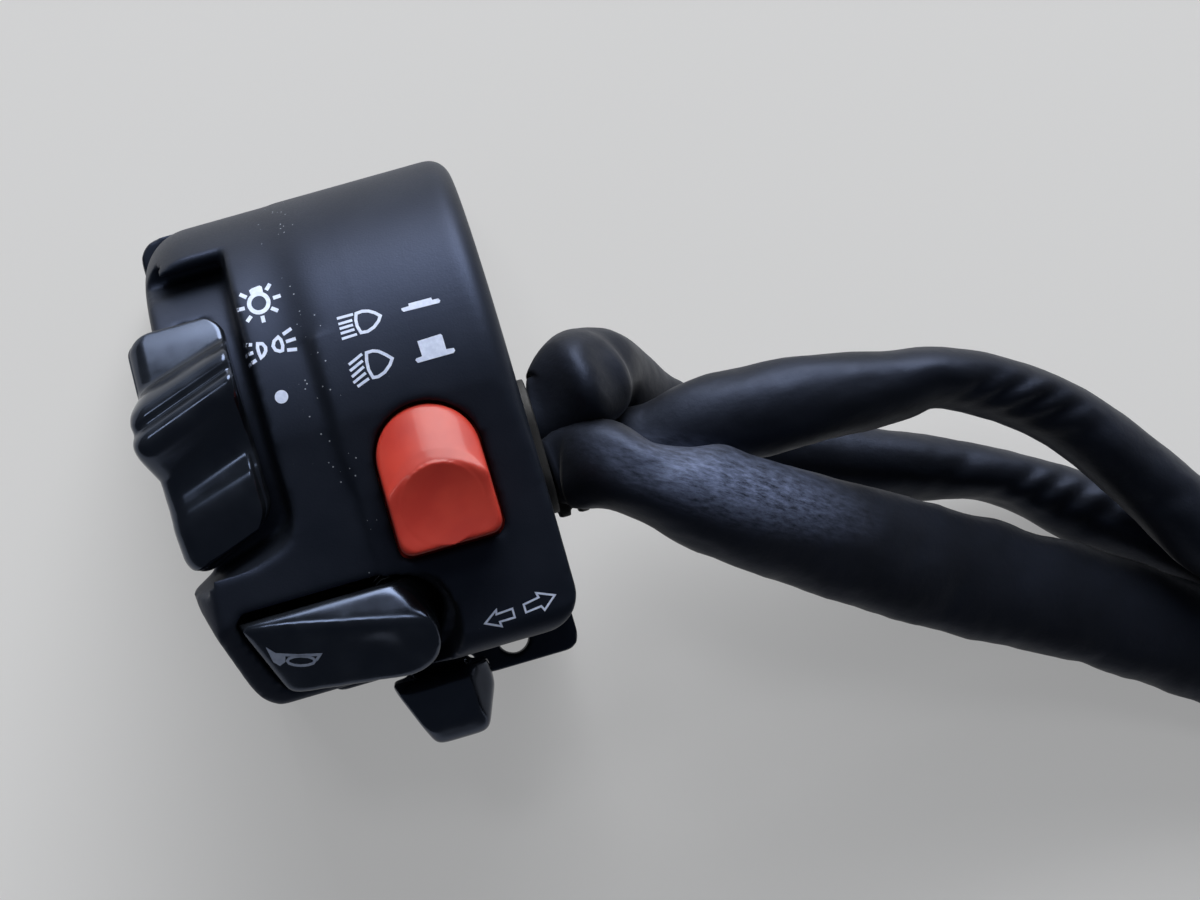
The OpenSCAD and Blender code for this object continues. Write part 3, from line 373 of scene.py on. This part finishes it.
# Each fold: distance along the sleeve, angle round it, length, spread in degrees, slant and depth.
# Each pleat at the root: the ends of its line across the part, half width and height towards the eye.
SLEEVES = [
    ("front", FRONT_ROUTE, [
        (6.0, 170, 6.0, 60, 0.0, 0.2), (17, 150, 3.2, 40, 2.0, -0.1), (11, 0, 5.0, 60, 0.0, -0.3),
        (22, 165, 3.0, 35, 3.0, 0.1), (38, 100, 1.1, 30, 3.5, -0.04), (44, 110, 0.8, 16, 2.5, -0.05),
        (52, 95, 1.2, 20, 3.0, -0.05), (60, 70, 1.4, 25, 4.0, -0.04), (84, 330, 2.4, 50, 3.0, -0.06),
    ], [
        ((31.2, -8.0), (35.0, -14.0), 1.8, 1.2), ((23.2, -9.0), (24.8, -17.0), 3.2, -2.0),
    ], 3.0),
    ("upper", UPPER_ROUTE, [
        (59, 70, 1.2, 40, 6.0, -0.08), (63, 75, 1.2, 45, 6.0, -0.14), (67, 70, 1.2, 45, 6.0, -0.16),
        (71, 70, 1.3, 45, 6.0, -0.12), (76, 60, 1.6, 40, 5.0, -0.06), (92, 60, 2.0, 45, 4.0, -0.08),
        (34, 300, 3.0, 50, 3.0, -0.06),
    ], [], 11.0),
    ("rear", REAR_ROUTE, [
        (6, 30, 7.0, 60, 0.0, 0.4), (12, 100, 2.2, 60, 1.0, -0.16), (17, 20, 2.2, 50, 2.0, -0.12),
        (83, 0, 9.0, 70, 0.0, -0.42),
        (76, 90, 1.6, 50, 4.0, -0.05), (86, 100, 1.3, 50, 5.0, -0.08), (90, 100, 1.3, 50, 5.0, -0.1),
        (94, 95, 1.4, 50, 5.0, -0.1), (99, 90, 1.6, 50, 5.0, -0.08),
    ], [
        ((29.2, 4.0), (31.4, -9.0), 1.9, 1.8), ((22.6, 2.0), (24.0, -9.0), 3.6, -3.2),
        ((34.2, 0.0), (34.6, -7.0), 1.8, -2.6),
    ], 19.0),
]
for label, route, folds, pleats, seed in SLEEVES:
    piece, path, length = make_sleeve(label + "_sleeve_soft", route, folds, pleats, seed)
    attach(piece, "casing")
    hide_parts(label + "_sleeve")


# Moulded pieces: the solid's own form with every edge broken, as a moulding has

bodies = {n: b for b, ns in frame["record"]["behaviour"]["bodies"].items() for n in ns}
made = {}


def applied(piece):
    """The piece with its modifiers applied."""
    mesh = bpy.data.meshes.new_from_object(piece.evaluated_get(bpy.context.evaluated_depsgraph_get()))
    rough = piece.data
    piece.modifiers.clear()
    piece.data = mesh
    bpy.data.meshes.remove(rough)
    mesh.name = piece.name
    return piece


def relax(piece, rounds, chosen=None):
    """Smooths the piece, or only the points that the test picks."""
    smooth = piece.modifiers.new("relax", "SMOOTH")
    smooth.factor = 0.5
    smooth.iterations = rounds
    if chosen:
        group = piece.vertex_groups.new(name="outside")
        group.add([v.index for v in piece.data.vertices if chosen(v.co / MM)], 1.0, "REPLACE")
        smooth.vertex_group = group.name
    bpy.context.view_layer.update()
    piece = applied(piece)
    piece.vertex_groups.clear()
    return piece


def settle(piece, node):
    """Shades the piece smooth, keeps it under its solid's name, hides the solid and lets the piece move with it."""
    piece.data.polygons.foreach_set("use_smooth", [True] * len(piece.data.polygons))
    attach(piece, bodies[node])
    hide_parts(node)
    made[node] = piece


def soften(node, material, voxel, rounds, outside_rounds=0, chosen=None):
    """A copy of a CAD solid, merged, remeshed and smoothed so that its edges round off."""
    bm = bmesh.new()
    bm.from_mesh(frame["nodes"][node].data)
    bmesh.ops.remove_doubles(bm, verts=bm.verts, dist=1e-6)
    piece = finish_mesh(node + "_moulded", bm, material)
    remesh = piece.modifiers.new("remesh", "REMESH")
    remesh.mode = "VOXEL"
    remesh.voxel_size = voxel * MM
    bpy.context.view_layer.update()
    piece = relax(applied(piece), rounds)
    if chosen:
        piece = relax(piece, outside_rounds, chosen)
    piece.data.materials.clear()
    piece.data.materials.append(material)
    settle(piece, node)
    return piece


HORN_TILT = math.radians(35)
DIP_SPRING_Z = 20.7
HORN_FACE = Vector((-8.4, -27.5, 26.4))


def on_paddle(p):
    """The part of the paddle that stands out of its slot."""
    return (p - HORN_FACE).dot(Vector((0, -math.sin(HORN_TILT), math.cos(HORN_TILT)))) > -1.2


def on_step(p):
    """The upper run of the casing's step, where it fades into the drum."""
    return -7.5 < p.x < 4.5 and 20 < math.degrees(math.atan2(p.y, p.z)) < 80 and math.hypot(p.y, p.z) > 30.5


soften("rear_casing", casing_abs, 0.45, 8, 120, on_step)
soften("front_casing", casing_abs, 0.5, 4)
soften("harness_grommet", grommet_epdm, 0.25, 4)
soften("horn_paddle", gloss_abs, 0.22, 10, 170, on_paddle)
soften("turn_lever", gloss_abs, 0.22, 8, 100, lambda p: p.y < -33)
button = soften("dip_button", red_acetal, 0.2, 10, 26, lambda p: p.z > 31)

# The button's dish is wide and shallow: it reaches the sides and runs out at the lower edge
CAD_DISH_R = 5.3
DISH = (8.4, -13.4)
DISH_R = 7.0
DISH_DEPTH = 0.8
crest = max(v.co.z for v in button.data.vertices)
for v in button.data.vertices:
    off = math.hypot(v.co.x / MM - DISH[0], v.co.y / MM - DISH[1])
    if off < DISH_R and crest - v.co.z < 2 * MM:
        worn = 0.0 if off < CAD_DISH_R else crest - v.co.z
        v.co.z = crest - worn - DISH_DEPTH * (1 - (off / DISH_R) ** 2) * MM
relax(button, 6, lambda p: p.z > 31)


# Return springs, copied as they are and not squeezed: solid, joint, axis, fixed end and the share of the length that
# stays
SPRINGS = [
    ("dip_spring", "dip_press", (0, 0, 1), (8.4, -9.6, DIP_SPRING_Z), 0.452),
    ("horn_spring", "horn_press", (0, -math.sin(HORN_TILT), math.cos(HORN_TILT)), (-1.2, -21.42, 17.72), 0.6),
]
for node, joint, axis, anchor, keep in SPRINGS:
    bm = bmesh.new()
    bm.from_mesh(frame["nodes"][node].data)
    bmesh.ops.remove_doubles(bm, verts=bm.verts, dist=1e-6)
    piece = finish_mesh(node + "_wound", bm, spring_steel)
    settle(piece, node)
    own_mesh(piece)


# Light slider: a plate bent about the bar, with a two-edged thumb ridge, a saddle and a pad

SLIDER_IN = 28.0
SLIDER_X = (-25.1, -12.3)
SLIDER_S = 31 * math.pi / 180
SLIDER_HIGH = 38 * SLIDER_S
SLIDER_LOW = -20.5 * SLIDER_S
SLIDER_SLANT = math.radians(18)
SLIDER_CORNERS = (3.5, 4.5, 2.2, 3.0)
SLIDER_ROUND = (2.4, 0.9, 0.8)
RIDGE_AT = (-20.4, 13 * SLIDER_S)
RIDGE_OUT = 1.7
HOOK_X = -22.1
HOOK = 3.0
PAD_RIM = 1.5
PAD_STEP = 0.7
# Distance across the ridge and height of the surface there
SLIDER_PROFILE = [
    (26, 1.9), (9, 1.9), (7, 1.9), (6, 2.0), (5.2, 2.5), (4.2, 3.9), (3.0, 5.5), (2.0, 6.6), (1.3, 7.0), (0.7, 7.1),
    (0.2, 6.9), (-0.2, 6.85), (-0.6, 7.2), (-1.1, 7.7), (-1.7, 7.9), (-2.4, 7.7), (-3.2, 7.0), (-4.2, 5.7),
    (-5.4, 4.2), (-6.6, 3.0), (-7.8, 2.4), (-9.0, 2.3), (-10.2, 2.7), (-11.4, 3.3), (-12.8, 3.6), (-14.5, 3.55),
    (-20, 3.2), (-30, 3.0),
]


def along_profile(t):
    """Height of the slider's surface at a distance across its ridge."""
    i = max(k for k in range(len(SLIDER_PROFILE) - 1) if k == 0 or SLIDER_PROFILE[k][0] >= t)
    rows = [SLIDER_PROFILE[min(max(k, 0), len(SLIDER_PROFILE) - 1)] for k in (i - 1, i, i + 1, i + 2)]
    f = (t - rows[1][0]) / (rows[2][0] - rows[1][0])
    slope_in = (rows[2][1] - rows[0][1]) / ((rows[2][0] - rows[0][0]) or 1) * (rows[2][0] - rows[1][0])
    slope_out = (rows[3][1] - rows[1][1]) / ((rows[3][0] - rows[1][0]) or 1) * (rows[2][0] - rows[1][0])
    return ((2 * f ** 3 - 3 * f ** 2 + 1) * rows[1][1] + (f ** 3 - 2 * f ** 2 + f) * slope_in
            + (3 * f ** 2 - 2 * f ** 3) * rows[2][1] + (f ** 3 - f ** 2) * slope_out)


def corner_cut(off, r):
    return r - math.sqrt(max(r * r - (r - off) ** 2, 0)) if off < r else 0.0


def slider_point(u, v):
    """Place along the bar, angle about it and height of the surface for one knot of the slider's grid."""
    span = SLIDER_HIGH - SLIDER_LOW
    right = SLIDER_X[1] - max(corner_cut((1 - v) * span, SLIDER_CORNERS[0]), corner_cut(v * span, SLIDER_CORNERS[1]))
    low = SLIDER_LOW - (1 - u) * (SLIDER_X[1] - SLIDER_X[0]) * math.tan(SLIDER_SLANT)
    s = low + v * (SLIDER_HIGH - low)
    end_t = (s - RIDGE_AT[1]) * math.cos(SLIDER_SLANT) - (SLIDER_X[0] - RIDGE_AT[0]) * math.sin(SLIDER_SLANT)
    left = SLIDER_X[0] - RIDGE_OUT * max(0, (along_profile(end_t) - 3.4) / 4.5)
    left += max(corner_cut((1 - v) * span, SLIDER_CORNERS[2]), corner_cut(v * span, SLIDER_CORNERS[3]))
    x = left + u * (right - left)
    across = (s - RIDGE_AT[1]) * math.cos(SLIDER_SLANT) - (x - RIDGE_AT[0]) * math.sin(SLIDER_SLANT)
    height = along_profile(across)
    to_low = (s - low) * math.cos(SLIDER_SLANT)
    rim = min(right - x, to_low)
    if across < -8 and rim < PAD_RIM:
        height -= PAD_STEP * min(1, (-8 - across) / 3) * (1 - max(0, rim / PAD_RIM - 0.55) / 0.45) ** 2
    height -= corner_cut(x - left, SLIDER_ROUND[0]) + corner_cut(rim, SLIDER_ROUND[1])
    height -= corner_cut(SLIDER_HIGH - s, SLIDER_ROUND[2])
    return x, s / 31, max(height, 0.3)


def make_slider():
    bm = bmesh.new()
    bmesh.ops.create_grid(bm, x_segments=90, y_segments=220, size=1)
    inner = bmesh.ops.extrude_face_region(bm, geom=bm.faces[:], use_keep_orig=True)
    under = {g for g in inner["geom"] if isinstance(g, bmesh.types.BMVert)}
    for v in bm.verts:
        x, turn, height = slider_point((v.co.x + 1) / 2, (v.co.y + 1) / 2)
        if v in under:
            height = -HOOK if x < HOOK_X else 0.0
        r = SLIDER_IN + height
        v.co = Vector((x, r * math.sin(turn), r * math.cos(turn))) * MM
    bmesh.ops.recalc_face_normals(bm, faces=bm.faces)
    return finish_mesh("light_slider_moulded", bm, gloss_abs)


settle(make_slider(), "light_slider")


# Printed marks, in millimetres across the part: line width, closed or not, then the points

LIGHT_MARKS = [
    (0.5, False, [(-5.02, 19.75), (-5.69, 19.06)]), (0.5, False, [(-4.08, 17.82), (-5.09, 17.77)]),
    (0.5, False, [(-4.89, 15.94), (-5.65, 16.55)]), (0.5, False, [(-7.0, 14.98), (-6.99, 15.87)]),
    (0.5, False, [(-9.04, 15.66), (-8.37, 16.25)]), (0.5, False, [(-9.91, 17.53), (-8.91, 17.49)]),
    (0.5, False, [(-9.1, 19.48), (-8.34, 18.81)]),
    (0.42, True, [(-8.47, 12.52), (-7.9, 12.35), (-7.63, 11.8), (-7.73, 11.32), (-8.13, 10.85), (-8.51, 10.67),
                  (-8.61, 11.24), (-8.62, 12.0)]),
    (0.45, False, [(-10.29, 12.91), (-9.17, 12.58)]), (0.45, False, [(-10.5, 11.49), (-9.3, 11.56)]),
    (0.45, False, [(-10.37, 10.1), (-9.16, 10.52)]),
    (0.42, True, [(-5.76, 12.63), (-5.51, 12.19), (-5.47, 11.41), (-5.67, 10.8), (-6.0, 10.78), (-6.5, 11.09),
                  (-6.67, 11.68), (-6.38, 12.27)]),
    (0.45, False, [(-5.08, 12.79), (-3.86, 13.23)]), (0.45, False, [(-4.96, 11.77), (-3.66, 11.81)]),
    (0.45, False, [(-5.09, 10.68), (-3.86, 10.44)]),
]
BEAM_MARKS = [
    (0.4, True, [(4.54, 12.73), (5.35, 12.8), (6.12, 12.61), (6.83, 12.18), (7.41, 11.59), (7.03, 11.02),
                 (6.25, 10.41), (5.34, 10.09), (4.49, 10.17), (4.25, 11.08), (4.28, 11.91)]),
    (0.34, False, [(2.04, 12.78), (4.15, 12.75)]), (0.34, False, [(2.03, 12.02), (3.85, 12.04)]),
    (0.34, False, [(2.03, 11.41), (3.78, 11.43)]), (0.34, False, [(1.99, 10.78), (3.81, 10.82)]),
    (0.34, False, [(1.95, 10.07), (3.95, 10.12)]),
    (0.4, True, [(4.44, 7.51), (5.27, 7.52), (5.94, 7.27), (6.73, 6.59), (7.36, 5.91), (6.87, 5.22), (5.97, 4.49),
                 (5.06, 4.18), (4.39, 4.25), (4.12, 5.36), (4.19, 6.5)]),
    (0.36, False, [(1.91, 6.66), (3.87, 7.51)]), (0.36, False, [(1.84, 5.85), (3.72, 6.67)]),
    (0.36, False, [(1.86, 5.05), (3.66, 5.9)]), (0.36, False, [(1.84, 4.28), (3.67, 5.07)]),
    (0.36, False, [(2.21, 3.68), (3.86, 4.28)]),
]
ARROW_MARKS = [
    (0.26, True, [(9.41, -29.53), (11.21, -28.26), (11.1, -28.81), (13.23, -28.68), (13.24, -29.84), (11.26, -29.85),
                  (11.33, -30.46)]),
    (0.26, True, [(18.88, -28.53), (16.67, -27.6), (16.82, -28.23), (14.75, -28.58), (14.78, -29.63),
                  (16.86, -29.4), (17.15, -29.98)]),
]
HORN_MARKS = [
    (0.36, False, [(-17.18, -25.88), (-14.45, -26.82), (-11.72, -27.47), (-12.41, -28.05)]),
    (0.34, True, [(-12.59, -28.09), (-12.91, -28.32), (-13.6, -28.36), (-14.48, -28.2), (-15.3, -27.88),
                  (-15.85, -27.49), (-15.98, -27.13), (-15.66, -26.89), (-14.97, -26.85), (-14.09, -27.01),
                  (-13.27, -27.33), (-12.72, -27.73)]),
]
# Filled shapes: the bulb's cap, the button's two states and the horn's bell
FACE_FILLS = [
    [(-7.84, 19.63), (-7.43, 19.82), (-6.36, 19.92), (-6.12, 19.67), (-6.14, 18.93), (-7.7, 18.7)],
    [(10.22, 11.77), (11.21, 11.79), (11.24, 12.12), (14.23, 12.08), (14.26, 11.73), (15.03, 11.71), (15.25, 11.39),
     (15.03, 11.12), (10.37, 11.26), (10.2, 11.53)],
    [(11.0, 7.15), (14.07, 7.24), (14.22, 7.0), (14.22, 5.17), (15.17, 5.06), (15.26, 4.7), (14.99, 4.45),
     (10.32, 4.48), (10.11, 4.87), (10.25, 5.08), (11.05, 5.14)],
]
HORN_FILLS = [[(-18.03, -24.65), (-17.11, -25.68), (-15.99, -26.39), (-16.25, -27.18), (-17.08, -27.51),
               (-17.72, -26.77)]]
BULB = (-7.01, 17.65, 1.24, 0.55)
DOT = (-7.35, 5.13, 0.85)
INK_STEP = 0.4
INK_T = 0.03


def round_points(x, y, r, count):
    return [(x + r * math.cos(2 * math.pi * i / count), y + r * math.sin(2 * math.pi * i / count))
            for i in range(count)]


def draw_line(bm, width, closed, points):
    """A ribbon of faces along a line, with mitred corners."""
    spots = []
    count = len(points)
    for i in range(count if closed else count - 1):
        start = Vector(points[i])
        end = Vector(points[(i + 1) % count])
        steps = max(1, math.ceil((end - start).length / INK_STEP))
        spots += [start.lerp(end, k / steps) for k in range(steps)]
    if not closed:
        spots.append(Vector(points[-1]))
    rows = []
    for i, spot in enumerate(spots):
        back = spot - spots[i - 1] if closed or i else spots[1] - spot
        ahead = spots[(i + 1) % len(spots)] - spot if closed or i < len(spots) - 1 else back
        side_back = Vector((-back.y, back.x)).normalized()
        side_ahead = Vector((-ahead.y, ahead.x)).normalized()
        side = (side_back + side_ahead).normalized()
        reach = width / 2 / max(side.dot(side_ahead), 0.5)
        rows.append([bm.verts.new((*(spot + side * s * reach), 0)) for s in (-1, 1)])
    for i in range(len(rows) if closed else len(rows) - 1):
        a, b = rows[i], rows[(i + 1) % len(rows)]
        bm.faces.new((a[0], b[0], b[1], a[1]))


def draw_fill(bm, points):
    """A filled outline, cut small enough to follow the surface."""
    face = bm.faces.new([bm.verts.new((x, y, 0)) for x, y in points])
    cut = bmesh.ops.triangulate(bm, faces=[face])
    edges = list({e for f in cut["faces"] for e in f.edges})
    bmesh.ops.subdivide_edges(bm, edges=edges, cuts=2, use_grid_fill=True)


def print_marks(name, node, lines, fills, rings=(), dots=()):
    """Thin ink on a moulded piece: drawn flat, dropped onto its surface and given a thickness."""
    bm = bmesh.new()
    for width, closed, points in lines:
        draw_line(bm, width, closed, points)
    for x, y, r, width in rings:
        draw_line(bm, width, True, round_points(x, y, r, 28))
    for points in fills:
        draw_fill(bm, points)
    for x, y, r in dots:
        draw_fill(bm, round_points(x, y, r, 28))
    surface = BVHTree.FromObject(made[node], bpy.context.evaluated_depsgraph_get())
    for v in bm.verts:
        above = Vector((v.co.x * MM, v.co.y * MM, 0.1))
        place, normal, _, _ = surface.ray_cast(above, Vector((0, 0, -1)))
        v.co = place + normal * INK_T * MM
    bmesh.ops.recalc_face_normals(bm, faces=bm.faces)
    down = bmesh.ops.extrude_face_region(bm, geom=bm.faces[:], use_keep_orig=True)
    lower = [g for g in down["geom"] if isinstance(g, bmesh.types.BMVert)]
    bmesh.ops.translate(bm, verts=lower, vec=(0, 0, -3 * INK_T * MM))
    bmesh.ops.recalc_face_normals(bm, faces=bm.faces)
    piece = finish_mesh(name, bm, print_ink, smooth=False)
    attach(piece, bodies[node])


print_marks("casing_marks", "rear_casing", LIGHT_MARKS + BEAM_MARKS + ARROW_MARKS, FACE_FILLS, [BULB], [DOT])
print_marks("horn_mark", "horn_paddle", HORN_MARKS, HORN_FILLS)


# Finishes of the solids that stay as they are

FINISHES = {
    "clamp_screws": zinc_steel, "module_plate": black_steel, "module_screws": contact_brass,
    "light_carrier": black_nylon, "light_contact": contact_brass, "light_base": phenolic,
    "light_detent_ball": zinc_steel, "light_detent_spring": spring_steel,
    "dip_plunger": natural_nylon, "dip_switch_body": phenolic,
    "horn_pivot_pin": zinc_steel, "horn_base": phenolic, "horn_leaf": contact_brass,
    "turn_pivot_pin": zinc_steel, "turn_base": phenolic, "turn_bridge": contact_brass,
    "turn_detent_ball": zinc_steel, "turn_detent_spring": spring_steel,
    "front_connector": natural_nylon, "upper_connector": natural_nylon, "rear_connector": natural_nylon,
}
for node, material in FINISHES.items():
    mesh = frame["nodes"][node].data
    mesh.materials.clear()
    mesh.materials.append(material)


# Floor, light and surroundings

FLOOR_Z = -16.5 * MM
BACKDROP = "#F6F6F6"
BOUNCE = "#8A8A8A"
GLOW = 0.58
GLOW_SHARE = 0.5


def make_stage():
    """A pale paper floor with a soft shadow, which throws less light back at the part than it shows."""
    bm = bmesh.new()
    bmesh.ops.create_grid(bm, x_segments=8, y_segments=8, size=4)
    bmesh.ops.translate(bm, verts=bm.verts, vec=(0, 0, FLOOR_Z - 0.0002))
    material, tree, shader, _ = start_material("paper_backdrop", roughness=0.9, specular_ior_level=0.1)
    path = add(tree, "ShaderNodeLightPath")
    direct = add(tree, "ShaderNodeMath", None,
                 {0: path.outputs["Is Camera Ray"], 1: path.outputs["Is Transmission Ray"]}, operation="MAXIMUM")
    shown = add(tree, "ShaderNodeMath", None, {0: direct.outputs[0], 1: path.outputs["Is Glossy Ray"]},
                operation="MAXIMUM")
    tone = add(tree, "ShaderNodeMix", {6: linear(BOUNCE), 7: linear(BACKDROP)}, {0: shown.outputs[0]},
               data_type="RGBA")
    tree.links.new(tone.outputs[2], shader.inputs["Base Color"])
    glow = add(tree, "ShaderNodeEmission", {"Strength": GLOW})
    share = add(tree, "ShaderNodeMath", {1: GLOW_SHARE}, {0: shown.outputs[0]}, operation="MULTIPLY")
    mixed = add(tree, "ShaderNodeMixShader", None,
                {0: share.outputs[0], 1: shader.outputs["BSDF"], 2: glow.outputs["Emission"]})
    tree.links.new(mixed.outputs["Shader"], tree.nodes["Material Output"].inputs["Surface"])
    floor = finish_mesh("floor", bm, material)


def make_lamp(name, where, target, size, power, colour="#FFFFFF"):
    data = bpy.data.lights.new(name, "AREA")
    data.shape = "DISK"
    data.size = size
    data.energy = power
    data.color = linear(colour)[:3]
    lamp = bpy.data.objects.new(name, data)
    scene.collection.objects.link(lamp)
    lamp.location = where
    lamp.rotation_euler = (Vector(target) - Vector(where)).to_track_quat("-Z", "Y").to_euler()


make_stage()
MIDDLE = (0.03, -0.01, 0.0)
UP = Vector((0.276, 0.961, 0))
make_lamp("window", Vector(MIDDLE) + UP * 1.8 + Vector((0, 0, 0.58)), MIDDLE, 1.4, 40.0)
make_lamp("room", Vector(MIDDLE) + UP * 1.8 + Vector((0.2, 0, 0.8)), MIDDLE, 1.6, 25.0)
make_lamp("ceiling", Vector(MIDDLE) + UP * 0.55 + Vector((-0.35, 0, 1.1)), MIDDLE, 0.22, 1.1)


def make_room():
    """Surroundings that are bright beyond the top of the picture and dim below it."""
    world = bpy.data.worlds.new("room")
    scene.world = world
    world.use_nodes = True
    tree = world.node_tree
    background = tree.nodes["Background"]
    background.inputs["Color"].default_value = linear("#E6ECF5")
    coords = add(tree, "ShaderNodeTexCoord")
    height = add(tree, "ShaderNodeVectorMath", {1: UP}, {0: coords.outputs["Generated"]}, operation="DOT_PRODUCT")
    level = add(tree, "ShaderNodeMapRange", {"From Min": 0.72, "From Max": 1.0, "To Min": 0.12, "To Max": 1.3},
                {"Value": height.outputs["Value"]}, interpolation_type="SMOOTHSTEP")
    tree.links.new(level.outputs["Result"], background.inputs["Strength"])


make_room()
